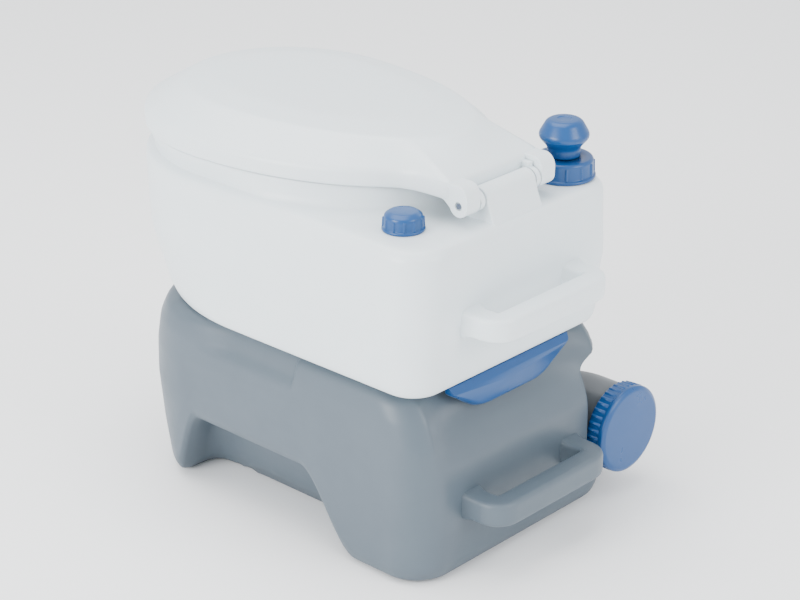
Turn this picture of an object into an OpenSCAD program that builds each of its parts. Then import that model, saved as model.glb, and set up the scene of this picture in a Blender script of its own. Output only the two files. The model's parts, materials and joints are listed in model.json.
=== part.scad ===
// Portable camping toilet in two parts: a flush-water tank with bowl, seat and lid, which stands
// on a waste tank with a slide valve, a carrying handle and a swivelling pour-out spout.
// Frame: +Z up, +Y towards the rear (hinge, pump and handles), origin on the floor under the middle.

/* [Waste tank] */
// Width of the waste tank
tank_w = 310; // [300:2:320]
// Height of the waste tank, where the upper part stands on it
tank_h = 203; // [203:1:206]
// Distance from the middle to the waste tank's rear face
tank_rear = 212; // [210:1:214]
// Distance from the middle to the waste tank's front face
tank_front = 226; // [222:1:230]
// Wall thickness of both tanks
wall = 3; // [2.5:0.5:4]

/* [Flush tank] */
// Half width of the flush tank at its widest line
body_hw = 154; // [152:1:156]
// Height of the rear deck above the floor
deck_z = 361; // [360:1:363]
// Height of the seat collar above the floor
collar_z = 385; // [384:1:386]

/* [Lid] */
// Height of the lid's crown above the floor
crown_z = 436; // [430:1:440]
// Height of the hinge axis
hinge_z = 383; // [382:1:384]
// Distance from the middle to the hinge axis
hinge_y = 180; // [178:1:182]

/* [Pump and filler] */
// Pump axis, to the left of the middle
pump_x = -114; // [-115:1:-112]
// Pump axis, towards the rear
pump_y = 164; // [162:1:165]
// Filler axis, to the right of the middle
filler_x = 104; // [102:1:106]
// Filler axis, towards the rear
filler_y = 143; // [140:1:145]

/* [Pour-out spout] */
// Outer radius of the pour-out cap
cap_r = 49; // [46:1:50]
// Height of the spout's axis
spout_z = 75; // [75:1:76]
// Distance from the middle to the spout's axis, on the left
spout_x = -159; // [-160:1:-158]

/* [Slide valve] */
// Radius of the opening that the slide valve closes
drain_r = 48; // [44:1:50]
// Drain axis, towards the front
drain_y = -40; // [-42:1:-38]

/* [Hidden] */
$fn = 64;
hw = tank_w / 2;
gap = 0.3;                       // clearance between parts that move on each other
body_z = tank_h + gap;           // underside of the flush tank
belt_z = 280;                    // height of the flush tank's widest line
body_front = -110;               // centre of the rounded front
front_b = 163;                   // depth of the rounded front
lid_hw = 150;                    // half width of the lid
swivel_y = 135;                  // spout's swivel axis, towards the rear
swivel_x = -108;                 // wall that the spout turns on
barrel_hw = 37;                  // half length of the hinge barrel
pin_r = 3;                       // radius of the hinge pins
blade_z = 192;                   // underside of the valve blade
blade_t = 4;                     // thickness of the valve blade
handle_gap = 26;                 // finger gap behind each handle
handle_bar = 26;                 // width of each handle's bar
arch_rear = 118;                 // rear end of the arch under the right side

// ---- outlines -------------------------------------------------------------------------------

// Points along part of an ellipse, from angle a0 to a1
function arc_pts(cx, cy, rx, ry, a0, a1, n) =
    [for (i = [0:n]) let (a = a0 + (a1 - a0) * i / n) [cx + rx * cos(a), cy + ry * sin(a)]];

// Rounded box in plan: half width w, rear face yr, front face yf, rear and front corner radii
function box_pts(w, yr, yf, rr, rf) = concat(
    arc_pts(w - rr, yr - rr, rr, rr, 0, 90, 8), arc_pts(rr - w, yr - rr, rr, rr, 90, 180, 8),
    arc_pts(rf - w, yf + rf, rf, rf, 180, 270, 10), arc_pts(w - rf, yf + rf, rf, rf, 270, 360, 10));

// Rounded box with a half-elliptical front: half width w, centre yc and depth b of the front
function horseshoe_pts(w, yr, rr, yc, b) = concat(
    arc_pts(w - rr, yr - rr, rr, rr, 0, 90, 8), arc_pts(rr - w, yr - rr, rr, rr, 90, 180, 8),
    arc_pts(0, yc, w, b, 180, 360, 28));

// Egg: a half ellipse of depth b in front of yc and one of depth c behind it
function egg_pts(w, yc, b, c) = concat(
    arc_pts(0, yc, w, c, 0, 176, 22), arc_pts(0, yc, w, b, 180, 356, 22));

module slab(pts, z) {
    translate([0, 0, z]) linear_extrude(0.02) polygon(pts);
}

module tube(r_out, r_in, h) {
    difference() {
        cylinder(h = h, r = r_out);
        translate([0, 0, -1]) cylinder(h = h + 2, r = r_in);
    }
}

// A solid ring of round section
module oring(r, t) {
    rotate_extrude() translate([r, 0]) circle(t, $fn = 16);
}

// Horizontal carrying handle on a rear face: a bar on two legs around a finger gap
module handle_loop(y, z, half, gap_half, thick) {
    translate([0, 0, z]) linear_extrude(thick) difference() {
        polygon(concat([[half - 14, y], [14 - half, y]],
            arc_pts(22 - half, y + handle_gap + handle_bar - 22, 22, 22, 180, 90, 6),
            arc_pts(half - 22, y + handle_gap + handle_bar - 22, 22, 22, 90, 0, 6)));
        polygon(concat([[gap_half, y - 0.1], [-gap_half, y - 0.1]],
            arc_pts(8 - gap_half, y + handle_gap - 8, 8, 8, 180, 90, 4),
            arc_pts(gap_half - 8, y + handle_gap - 8, 8, 8, 90, 0, 4)));
    }
}

// ---- waste unit -----------------------------------------------------------------------------

module tank_form(d) {
    hull() {
        slab(box_pts(hw - 8 - d, tank_rear - 4 - d, 16 + d - tank_front, 32, 80), d);
        slab(box_pts(hw - d, tank_rear - d, 6 + d - tank_front, 40, 96), 14 + d);
        slab(box_pts(hw - d, tank_rear - d, d - tank_front, 40, 100), 160 - d);
        slab(box_pts(hw - 6 - d, tank_rear - 10 - d, 8 + d - tank_front, 40, 96), tank_h - 6 - d);
        slab(box_pts(hw - 12 - d, tank_rear - 20 - d, 14 + d - tank_front, 36, 92), tank_h - d);
    }
}

// Arched hollow under one side, seen from the side: d larger all round, its rear end at y_rear
module arch_form(d, x_in, y_rear) {
    translate([x_in - d, 0, -1]) rotate([90, 0, 90]) linear_extrude(80)
        polygon([[y_rear + d, 0], [y_rear - 26 + d, 33], [y_rear - 46 + d, 58],
                 [y_rear - 64, 76 + d], [y_rear - 82, 82 + d], [-20, 81 + d], [-50, 77 + d],
                 [-100, 83 + d], [-128 - d, 70], [-142 - d, 40], [-150 - d, 12],
                 [-160 - d, 0]]);
}

// The left arch ends further forward, in front of the spout
module side_arch(d, x_in) {
    arch_form(d, x_in, arch_rear);
    mirror([1, 0, 0]) arch_form(d, x_in, arch_rear - 56);
}

// Room for the spout on the left: it lies to the rear and turns up a quarter turn
module spout_room(d) {
    translate([swivel_x + d, swivel_y, spout_z]) rotate([90, 0, -90]) linear_extrude(70) union() {
        circle(51 + d);
        translate([-120, -51 - d]) square([120, 102 + 2 * d]);
        intersection() {
            circle(110 + d);
            translate([-120, 0]) square(120);
        }
        translate([-51 - d, 0]) square([102 + 2 * d, 100]);
    }
}

module paddle_room(d) {
    translate([-100 - d, 168 - d, 156 - d]) cube([200 + 2 * d, 60, 60]);
}

module waste_tank() {
    color("slategray") difference() {
        union() {
            difference() {
                tank_form(0);
                side_arch(0, 96);
                spout_room(0);
                paddle_room(0);
                translate([-66, -120, tank_h - 20]) cube([132, 300, 30]);
            }
            intersection() {
                handle_loop(tank_rear - 3, 62, 92, 62, 28);
                translate([-200, 100, 0]) cube([400, 300, 200]);
            }
        }
        difference() {
            tank_form(wall);
            side_arch(wall, 96);
            spout_room(wall);
            paddle_room(wall);
            translate([-66 - wall, -120 - wall, tank_h - 20 - wall])
                cube([132 + 2 * wall, 300 + 2 * wall, 40]);
        }
        translate([0, drain_y, 150]) cylinder(h = 60, r = drain_r + 2);
        translate([swivel_x - 1, swivel_y, spout_z]) rotate([0, 90, 0]) cylinder(h = 10, r = 30.05);
        for (x = [-60, 60], y = [-112, 60]) translate([x, y, 176]) cylinder(h = 12, r = 1.9);
    }
}

// Two-layer guide plate that carries the sliding blade and the lip seal
module valve_housing() {
    color("dimgray") difference() {
        translate([-65, -119, tank_h - 19.9]) cube([130, 285, 19.8]);
        translate([-60, -100, blade_z - gap]) cube([120, 290, blade_t + 2 * gap]);
        translate([0, drain_y, 150]) cylinder(h = 60, r = drain_r);
        translate([0, drain_y, blade_z + blade_t + gap]) cylinder(h = 20, r = drain_r + 6);
        for (x = [-60, 60], y = [-112, 60]) translate([x, y, 170]) cylinder(h = 40, r = 2.1);
        for (x = [-60, 60], y = [-112, 60]) translate([x, y, 199.2]) cylinder(h = 10, r = 4.2);
    }
}

module valve_lip_seal() {
    color("black") translate([0, drain_y, blade_z + blade_t + gap])
        tube(drain_r + 5.9, drain_r - 2, tank_h - 0.2 - blade_z - blade_t - gap);
}

module housing_screws() {
    color("silver") for (x = [-60, 60], y = [-112, 60]) translate([x, y, 0]) {
        translate([0, 0, 178]) cylinder(h = 21.2, r = 1.8);
        difference() {
            translate([0, 0, 199.2]) cylinder(h = 2.6, r = 3.9);
            translate([-0.5, -3, 200.6]) cube([1, 6, 4]);
        }
    }
}

module valve_blade() {
    color("dodgerblue") union() {
        translate([0, drain_y, blade_z]) cylinder(h = blade_t, r = 58);
        translate([-58, drain_y, blade_z]) cube([116, 110, blade_t]);
    }
}

module valve_stem() {
    color("dodgerblue") union() {
        translate([-30, drain_y + 110, blade_z]) cube([60, 186 - drain_y - 110, blade_t]);
        for (x = [-24, 20]) translate([x, 170, blade_z - 4]) cube([4, 16, 4]);
    }
}

// Pull handle: a wide trapezoid with cut-back ends and a bevelled lip
module valve_paddle() {
    color("royalblue") difference() {
        translate([0, 198, 0]) rotate([90, 0, 0]) linear_extrude(12)
            polygon([[-92, 201], [-92, 194], [-50, 166], [50, 166], [92, 194], [92, 201]]);
        translate([-110, 196, 204]) rotate([-50, 0, 0]) cube([220, 14, 14]);
    }
}

// Outside and inside of the spout's neck: a cup with a bevelled blind end, d smaller all round
module neck_form(d, length) {
    translate([spout_x, swivel_y, spout_z]) rotate([-90, 0, 0]) rotate_extrude()
        polygon([[0, d - 43], [20 - d / 2, d - 43], [43.5 - d, d - 17], [43.5 - d, length],
                 [0, length]]);
}

// Round stub along X from the tank's side wall towards the neck's axis
module stub(x_from, x_to, r) {
    translate([x_from, swivel_y, spout_z]) rotate([0, -90, 0]) cylinder(h = x_from - x_to, r = r);
}

module spout_elbow() {
    color("slategray") difference() {
        union() {
            neck_form(0, 92);
            stub(swivel_x - gap, -157, 42);
            stub(swivel_x + 9, -125, 30);
        }
        neck_form(3.5, 100);
        stub(-113, -150, 38);
        stub(swivel_x + 20, -120, 26);
        translate([swivel_x + 4.5, swivel_y, spout_z]) rotate([0, 90, 0]) tube(31, 28, 2);
        translate([swivel_x + 0.5, swivel_y, spout_z]) rotate([0, 90, 0]) tube(31, 28, 2);
    }
}

module spout_oring() {
    color("black") translate([swivel_x + 1.5, swivel_y, spout_z]) rotate([0, 90, 0]) oring(29, 0.98);
}

module spout_retainer() {
    color("silver") translate([swivel_x + 4.6, swivel_y, spout_z]) rotate([0, 90, 0])
        tube(36, 28.1, 1.8);
}

// Ribbed screw cap on the spout's neck
module spout_cap() {
    color("royalblue") translate([spout_x, 208, spout_z]) rotate([-90, 0, 0]) difference() {
        union() {
            cylinder(h = 20, r = cap_r - 1);
            translate([0, 0, 19.9]) cylinder(h = 3.1, r1 = cap_r - 1, r2 = cap_r - 5);
            for (i = [0:35]) rotate([0, 0, i * 10])
                translate([cap_r - 1.5, -1.5, 0]) cube([1.5, 3, 17]);
        }
        translate([0, 0, -1]) cylinder(h = 20.4, r = 43.8);
    }
}

module spout_cap_gasket() {
    color("black") translate([spout_x, 227, spout_z]) rotate([-90, 0, 0])
        translate([0, 0, 0.2]) tube(43.4, 38, 0.2);
}

// ---- flush unit -----------------------------------------------------------------------------

module body_form(d) {
    hull() {
        slab(horseshoe_pts(148 - d, 197 - d, 30, -60, 180 - d), body_z + d);
        slab(horseshoe_pts(151 - d, 201 - d, 34, -66, 186 - d), body_z + 10);
        slab(horseshoe_pts(body_hw - d, 208 - d, 38, -105, front_b - d), belt_z);
        slab(horseshoe_pts(152 - d, 207 - d, 40, body_front, front_b - d), deck_z - 9);
        slab(horseshoe_pts(147 - d, 202 - d, 38, body_front, front_b - 5 - d), deck_z - d);
    }
}

module collar_form(d) {
    translate([0, 0, deck_z - 14 + d]) linear_extrude(collar_z - deck_z + 14 - 2 * d)
        polygon(egg_pts(lid_hw - 2 - d, body_front, front_b - 2 - d, 236 - d));
}

// Oval well that the bowl hangs in, d larger all round
module well_form(d) {
    hull() {
        slab(egg_pts(112 + d, -88, 132 + d, 142 + d), collar_z + 0.1);
        slab(egg_pts(104 + d, -88, 124 + d, 132 + d), 330);
        slab(egg_pts(drain_r + 16 + d, drain_y, drain_r + 16 + d, drain_r + 16 + d), 226 - d);
    }
}

module fresh_tank() {
    color("whitesmoke") difference() {
        union() {
            body_form(0);
            collar_form(0);
            handle_loop(204, 262, 92, 60, 26);
            translate([-barrel_hw, hinge_y, hinge_z]) rotate([0, 90, 0])
                cylinder(h = 2 * barrel_hw, r = 12);
            translate([-barrel_hw, hinge_y - 12, deck_z - 8]) cube([2 * barrel_hw, 24, 30]);
        }
        difference() {
            union() {
                body_form(wall);
                collar_form(wall);
            }
            well_form(wall);
            translate([0, drain_y, 190]) cylinder(h = 60, r = drain_r + 2 + wall);
        }
        well_form(0.4);
        translate([0, drain_y, 190]) cylinder(h = 60, r = drain_r + 2);
        translate([-200, hinge_y, hinge_z]) rotate([0, 90, 0]) cylinder(h = 400, r = pin_r);
        translate([pump_x, pump_y, deck_z - 20]) cylinder(h = 40, r = 25);
        translate([filler_x, filler_y, deck_z - 20]) cylinder(h = 40, r = 14);
        for (s = [-1, 1]) translate([s * 55 - 18, hinge_y, hinge_z]) rotate([0, 90, 0])
            cylinder(h = 36, r = 15);
    }
}

// Bowl liner: flange on the collar, sloping walls and a drain
module bowl() {
    color("white") difference() {
        union() {
            well_form(0);
            translate([0, 0, collar_z + 0.1]) linear_extrude(1.4)
                polygon(egg_pts(120, -88, 140, 150));
            translate([0, drain_y, 208]) cylinder(h = 24, r = drain_r + 1.8);
        }
        well_form(-2.5);
        translate([0, 0, collar_z - 3]) linear_extrude(8) polygon(egg_pts(109, -88, 129, 139));
        translate([0, drain_y, 200]) cylinder(h = 60, r = drain_r - 2);
    }
}

module bowl_seal() {
    color("black") translate([0, drain_y, body_z + 0.1]) tube(drain_r + 1.8, drain_r - 3, 4.5);
}

// Fan nozzle that sweeps flush water round the bowl
module flush_nozzle() {
    color("lightgray") translate([-95.4, -30, 350]) union() {
        rotate([0, 90, 0]) cylinder(h = 12, r = 5);
        translate([8, -9, -4]) cube([6, 18, 8]);
    }
}

// Flush hose inside the tank, from the pump's foot to the wall behind the nozzle
module flush_hose() {
    hose_x = -118;
    color("gainsboro") union() {
        translate([hose_x, 110, 246]) rotate([-90, 0, 0]) cylinder(h = 32, r = 4);
        translate([hose_x, 110, 246]) sphere(4);
        translate([hose_x, 110, 246]) cylinder(h = 94, r = 4);
        translate([hose_x, 110, 340]) sphere(4);
        translate([hose_x, -30, 340]) rotate([-90, 0, 0]) cylinder(h = 140, r = 4);
        translate([hose_x, -30, 340]) sphere(4);
        translate([hose_x, -30, 340]) rotate([0, 90, 0]) cylinder(h = 15, r = 4);
    }
}

module hinge_pins() {
    color("silver") for (s = [-1, 1]) translate([s * 48 - 18, hinge_y, hinge_z])
        rotate([0, 90, 0]) cylinder(h = 36, r = pin_r - 0.05);
}

// ---- seat and lid ---------------------------------------------------------------------------

module hinge_ear(x0, w, z_top, bore) {
    difference() {
        union() {
            translate([x0, hinge_y, hinge_z]) rotate([0, 90, 0]) cylinder(h = w, r = 11);
            translate([x0, hinge_y - 40, hinge_z + 4]) cube([w, 40, z_top - hinge_z - 4]);
        }
        translate([x0 - 1, hinge_y, hinge_z]) rotate([0, 90, 0]) cylinder(h = w + 2, r = bore);
    }
}

module seat() {
    seat_z = collar_z + 1.8;
    color("white") union() {
        difference() {
            translate([0, 0, seat_z]) linear_extrude(12)
                polygon(egg_pts(140, body_front, 154, 224));
            translate([0, 0, seat_z - 1]) linear_extrude(20)
                polygon(egg_pts(100, -92, 116, 124));
            translate([-80, 112, seat_z - 1]) cube([160, 80, 20]);
        }
        for (s = [-1, 1]) translate([s * 42 - 3, 0, 0]) {
            hinge_ear(0, 6, seat_z + 12, pin_r + 0.05);
            translate([0, 100, seat_z]) cube([6, 70, 12]);
        }
    }
}

module seat_buffers() {
    color("gray") for (s = [-1, 1], p = [[96, -200], [102, 30]])
        translate([s * p[0], p[1], collar_z + 0.2]) cylinder(h = 1.5, r = 6);
}

module lid_form(d) {
    hull() {
        slab(egg_pts(lid_hw - 1 - d, body_front, front_b - 1 - d, 248 - d), collar_z + 1 - 2 * d);
        slab(egg_pts(lid_hw + 1 - d, body_front, front_b + 1 - d, 250 - d), collar_z + 6);
        slab(egg_pts(lid_hw - d, body_front, front_b - d, 248 - d), collar_z + 18);
        slab(egg_pts(106 - d, body_front + 4, 122 - d, 206 - d), crown_z - 7 - d);
        slab(egg_pts(70 - d, body_front + 8, 84 - d, 150 - d), crown_z - 1 - d);
        slab(egg_pts(20, body_front + 8, 26, 60), crown_z - d);
    }
}

module lid() {
    color("white") difference() {
        union() {
            lid_form(0);
            translate([-66.5, 60, hinge_z + 17]) cube([133, 106, 4.5]);
            for (s = [-1, 1]) translate([s * 56.5 - 10, 0, 0]) hinge_ear(0, 20, hinge_z + 18, 0.5);
        }
        difference() {
            lid_form(3.5);
            translate([-200, 130, 300]) cube([400, 200, 200]);
        }
        translate([-46.3, 60, 300]) cube([92.6, 130, 99.8]);
        for (s = [-1, 1]) translate([s * 56.5 - 12, hinge_y, hinge_z]) rotate([0, 90, 0])
            cylinder(h = 24, r = pin_r + 0.05);
    }
}

module lid_buffers() {
    color("gray") for (a = [-130, -50])
        translate([120 * cos(a), body_front + 134 * sin(a), collar_z + 14.2]) cylinder(h = 19, r = 5);
}

// ---- pump and filler ------------------------------------------------------------------------

module filler_cap() {
    color("royalblue") translate([filler_x, filler_y, deck_z + gap]) difference() {
        union() {
            cylinder(h = 3, r = 21.5);
            cylinder(h = 17, r = 19.5);
            translate([0, 0, 16.9]) cylinder(h = 3, r1 = 19.5, r2 = 15);
            for (i = [0:11]) rotate([0, 0, i * 30]) translate([18.5, -1, 0]) cube([1.8, 2, 12]);
            translate([0, 0, -16]) cylinder(h = 20, r = 13.7);
        }
        translate([0, 0, -17]) cylinder(h = 30, r = 11);
    }
}

module filler_gasket() {
    color("black") translate([filler_x, filler_y, deck_z + 0.05]) tube(18, 14.5, 0.2);
}

module pump_collar() {
    color("royalblue") translate([pump_x, pump_y, deck_z + gap]) difference() {
        union() {
            cylinder(h = 3, r = 33.5);
            cylinder(h = 21, r = 31);
            for (i = [0:11]) rotate([0, 0, i * 30]) translate([30, -1.5, 0]) cube([2.4, 3, 16]);
        }
        translate([0, 0, -1]) cylinder(h = 15, r = 28.4);
        cylinder(h = 40, r = 7.3);
    }
}

module pump_gasket() {
    color("black") translate([pump_x, pump_y, deck_z + 0.05]) tube(28, 25.5, 0.2);
}

// Piston pump body under the collar, with a flange that the collar clamps
module pump_cylinder() {
    color("lightgray") translate([pump_x, pump_y, 0]) difference() {
        union() {
            translate([0, 0, 232]) cylinder(h = 138, r = 22);
            translate([0, 0, deck_z + 0.3]) cylinder(h = 2.4, r = 28);
        }
        translate([0, 0, 236]) cylinder(h = 150, r = 19);
        translate([0, 0, 220]) cylinder(h = 30, r = 4.05);
    }
}

module pump_knob() {
    color("royalblue") translate([pump_x, pump_y, 0]) rotate_extrude() polygon([
        [0, 382.5], [17.3, 382.5], [17.3, 392], [19, 395], [25, 402], [26, 405], [25.6, 407.5],
        [19, 419.5], [16, 421.6], [0, 422.4]]);
}

module pump_rod() {
    color("silver") translate([pump_x, pump_y, 268]) cylinder(h = 114.5, r = 7);
}

module pump_piston() {
    color("black") translate([pump_x, pump_y, 262]) difference() {
        cylinder(h = 10, r = 18.95);
        translate([0, 0, 6]) cylinder(h = 10, r = 7);
    }
}

// Flap valve over the hole in the cylinder's foot
module pump_foot_valve() {
    color("black") translate([pump_x, pump_y, 236.1]) cylinder(h = 1.6, r = 9);
}

module pump_strainer() {
    color("gray") translate([pump_x, pump_y, body_z + 6]) difference() {
        cylinder(h = 22, r = 10);
        translate([0, 0, 2]) cylinder(h = 30, r = 8);
        for (i = [0:7]) rotate([0, 0, i * 45]) translate([0, -1, 3]) cube([20, 2, 14]);
    }
}

waste_tank();
valve_housing();
valve_lip_seal();
housing_screws();
valve_blade();
valve_stem();
valve_paddle();
spout_elbow();
spout_oring();
spout_retainer();
spout_cap();
spout_cap_gasket();
fresh_tank();
bowl();
bowl_seal();
flush_nozzle();
flush_hose();
hinge_pins();
seat();
seat_buffers();
lid();
lid_buffers();
filler_cap();
filler_gasket();
pump_collar();
pump_gasket();
pump_cylinder();
pump_knob();
pump_rod();
pump_piston();
pump_foot_valve();
pump_strainer();
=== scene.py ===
"""Portable camping toilet: the visual model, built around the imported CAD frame."""

import json
import logging
import math
from dataclasses import dataclass, field
from enum import Enum

import bmesh
import bpy
import numpy as np
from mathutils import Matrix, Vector


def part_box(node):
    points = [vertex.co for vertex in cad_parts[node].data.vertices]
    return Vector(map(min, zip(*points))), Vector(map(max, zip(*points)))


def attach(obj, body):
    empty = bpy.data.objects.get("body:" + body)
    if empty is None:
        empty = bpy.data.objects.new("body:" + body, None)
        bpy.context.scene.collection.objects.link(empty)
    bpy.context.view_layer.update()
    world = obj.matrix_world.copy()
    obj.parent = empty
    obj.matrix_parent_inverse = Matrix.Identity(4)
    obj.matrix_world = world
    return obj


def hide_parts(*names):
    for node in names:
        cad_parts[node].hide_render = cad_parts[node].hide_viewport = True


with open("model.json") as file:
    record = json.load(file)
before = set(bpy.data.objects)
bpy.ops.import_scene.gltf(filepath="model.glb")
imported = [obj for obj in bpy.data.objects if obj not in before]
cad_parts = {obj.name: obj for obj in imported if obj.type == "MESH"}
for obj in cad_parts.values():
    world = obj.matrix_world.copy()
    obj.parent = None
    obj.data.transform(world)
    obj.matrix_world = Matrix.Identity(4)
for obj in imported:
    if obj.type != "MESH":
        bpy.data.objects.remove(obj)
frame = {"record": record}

LOG = logging.getLogger("camp_toilet")
MM = 0.001  # the sizes below are in millimetres, the scene's in metres
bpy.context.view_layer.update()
HINGE = (180.0, 383.0)  # the lid's hinge axis, in Y and Z
SWIVEL = (135.0, 75.0)  # the spout's swivel axis, in Y and Z
MIX_A, MIX_B, MIX_RESULT = 6, 7, 2  # a colour Mix node's two colour inputs and its colour output


# ---------------------------------------------------------------------------------- finishes


def linear(hex_colour: str) -> tuple[float, float, float, float]:
    """Turn an sRGB hex colour into Blender's linear colour.

    Args:
        hex_colour: six hex digits, with or without a leading hash.

    Returns:
        Red, green, blue and alpha, 0 to 1.
    """
    raw = hex_colour.lstrip("#")
    parts = [int(raw[i : i + 2], 16) / 255 for i in (0, 2, 4)]
    curve = [c / 12.92 if c <= 0.04045 else ((c + 0.055) / 1.055) ** 2.4 for c in parts]
    return (*curve, 1.0)


def add_node(tree: bpy.types.NodeTree, kind: str, settings: dict, links: dict) -> bpy.types.Node:
    """Add a node with its settings and links.

    Args:
        tree: the material's node tree.
        kind: the node's type name.
        settings: attribute names, or input names, and their values.
        links: input names and the output sockets that feed them.

    Returns:
        The new node.
    """
    node = tree.nodes.new(kind)
    for name, value in settings.items():
        if hasattr(node, name):
            setattr(node, name, value)
        else:
            node.inputs[name].default_value = value
    for name, socket in links.items():
        tree.links.new(socket, node.inputs[name])
    return node


@dataclass(frozen=True)
class Plastic:
    """A moulded plastic: polyethylene or polypropylene out of a textured or polished mould.

    The mould's fine grain breaks up the gloss, slow waves in the wall come from shrinkage as it
    cools, and handling leaves faintly duller patches.
    """

    name: str
    colour: str
    shade: str
    roughness: float
    grain_mm: float = 1.2
    grain_height_mm: float = 0.03
    wave_mm: float = 60.0
    wave_height_mm: float = 0.25
    ior: float = 1.52
    glow_through: float = 0.0
    patch_mm: float = 45.0

    def material(self) -> bpy.types.Material:
        """Build the node material, or return it if it is already there."""
        found = bpy.data.materials.get(self.name)
        if found:
            return found
        made = bpy.data.materials.new(self.name)
        made.use_nodes = True
        tree = made.node_tree
        tree.nodes.clear()
        place = add_node(tree, "ShaderNodeTexCoord", {}, {})
        patches = add_node(
            tree, "ShaderNodeTexNoise",
            {"Scale": 1 / (self.patch_mm * MM), "Detail": 3.0, "Roughness": 0.6},
            {"Vector": place.outputs["Object"]},
        )
        tint = add_node(
            tree, "ShaderNodeMix", {"data_type": "RGBA", "blend_type": "MIX"}, {},
        )
        tint.inputs[MIX_A].default_value = linear(self.colour)
        tint.inputs[MIX_B].default_value = linear(self.shade)
        tree.links.new(patches.outputs["Fac"], tint.inputs["Factor"])
        dull = add_node(
            tree, "ShaderNodeMapRange",
            {"From Min": 0.3, "From Max": 0.7, "To Min": self.roughness - 0.04,
             "To Max": self.roughness + 0.06},
            {"Value": patches.outputs["Fac"]},
        )
        grain = add_node(
            tree, "ShaderNodeTexNoise",
            {"Scale": 1 / (self.grain_mm * MM), "Detail": 2.0},
            {"Vector": place.outputs["Object"]},
        )
        waves = add_node(
            tree, "ShaderNodeTexNoise",
            {"Scale": 1 / (self.wave_mm * MM), "Detail": 1.0},
            {"Vector": place.outputs["Object"]},
        )
        slow = add_node(
            tree, "ShaderNodeBump",
            {"Strength": 0.5, "Distance": self.wave_height_mm * MM},
            {"Height": waves.outputs["Fac"]},
        )
        fine = add_node(
            tree, "ShaderNodeBump",
            {"Strength": 0.6, "Distance": self.grain_height_mm * MM},
            {"Height": grain.outputs["Fac"], "Normal": slow.outputs["Normal"]},
        )
        shader = add_node(
            tree, "ShaderNodeBsdfPrincipled",
            {"IOR": self.ior, "Subsurface Weight": self.glow_through, "Subsurface Scale": 0.004},
            {"Base Color": tint.outputs[MIX_RESULT], "Roughness": dull.outputs["Result"],
             "Normal": fine.outputs["Normal"]},
        )
        add_node(tree, "ShaderNodeOutputMaterial", {}, {"Surface": shader.outputs["BSDF"]})
        return made


@dataclass(frozen=True)
class Rubber:
    """A moulded sealing rubber: nearly black, matt, with a dusty bloom in places."""

    name: str
    colour: str
    bloom: str
    dust_mm: float = 6.0
    pore_depth_mm: float = 0.05

    def material(self) -> bpy.types.Material:
        """Build the node material, or return it if it is already there."""
        found = bpy.data.materials.get(self.name)
        if found:
            return found
        made = bpy.data.materials.new(self.name)
        made.use_nodes = True
        tree = made.node_tree
        tree.nodes.clear()
        place = add_node(tree, "ShaderNodeTexCoord", {}, {})
        dust = add_node(
            tree, "ShaderNodeTexNoise", {"Scale": 1 / (self.dust_mm * MM), "Detail": 4.0},
            {"Vector": place.outputs["Object"]},
        )
        tint = add_node(tree, "ShaderNodeMix", {"data_type": "RGBA"}, {})
        tint.inputs[MIX_A].default_value = linear(self.colour)
        tint.inputs[MIX_B].default_value = linear(self.bloom)
        tree.links.new(dust.outputs["Fac"], tint.inputs["Factor"])
        pores = add_node(
            tree, "ShaderNodeBump", {"Strength": 0.5, "Distance": self.pore_depth_mm * MM},
            {"Height": dust.outputs["Fac"]},
        )
        shader = add_node(
            tree, "ShaderNodeBsdfPrincipled", {"Roughness": 0.75, "IOR": 1.5},
            {"Base Color": tint.outputs[MIX_RESULT], "Normal": pores.outputs["Normal"]},
        )
        add_node(tree, "ShaderNodeOutputMaterial", {}, {"Surface": shader.outputs["BSDF"]})
        return made


@dataclass(frozen=True)
class Steel:
    """Stainless steel: bright, with fine streaks along X."""

    name: str
    colour: str
    roughness: float
    streak_mm: float = 0.4

    def material(self) -> bpy.types.Material:
        """Build the node material, or return it if it is already there."""
        found = bpy.data.materials.get(self.name)
        if found:
            return found
        made = bpy.data.materials.new(self.name)
        made.use_nodes = True
        tree = made.node_tree
        tree.nodes.clear()
        place = add_node(tree, "ShaderNodeTexCoord", {}, {})
        stretch = add_node(
            tree, "ShaderNodeMapping", {"Scale": (0.05, 1.0, 1.0)},
            {"Vector": place.outputs["Object"]},
        )
        streaks = add_node(
            tree, "ShaderNodeTexNoise", {"Scale": 1 / (self.streak_mm * MM), "Detail": 3.0},
            {"Vector": stretch.outputs["Vector"]},
        )
        dull = add_node(
            tree, "ShaderNodeMapRange",
            {"To Min": self.roughness - 0.08, "To Max": self.roughness + 0.1},
            {"Value": streaks.outputs["Fac"]},
        )
        shader = add_node(
            tree, "ShaderNodeBsdfPrincipled",
            {"Base Color": linear(self.colour), "Metallic": 1.0},
            {"Roughness": dull.outputs["Result"]},
        )
        add_node(tree, "ShaderNodeOutputMaterial", {}, {"Surface": shader.outputs["BSDF"]})
        return made


class Look(Enum):
    """The finishes of this toilet, each under the record's material slot."""

    WHITE = "white_plastic"
    BOWL = "bowl_plastic"
    GREY = "grey_plastic"
    SPOUT = "spout_plastic"
    BLUE = "blue_plastic"
    RUBBER = "black_rubber"
    STEEL = "steel"
    NATURAL = "natural_plastic"


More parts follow.
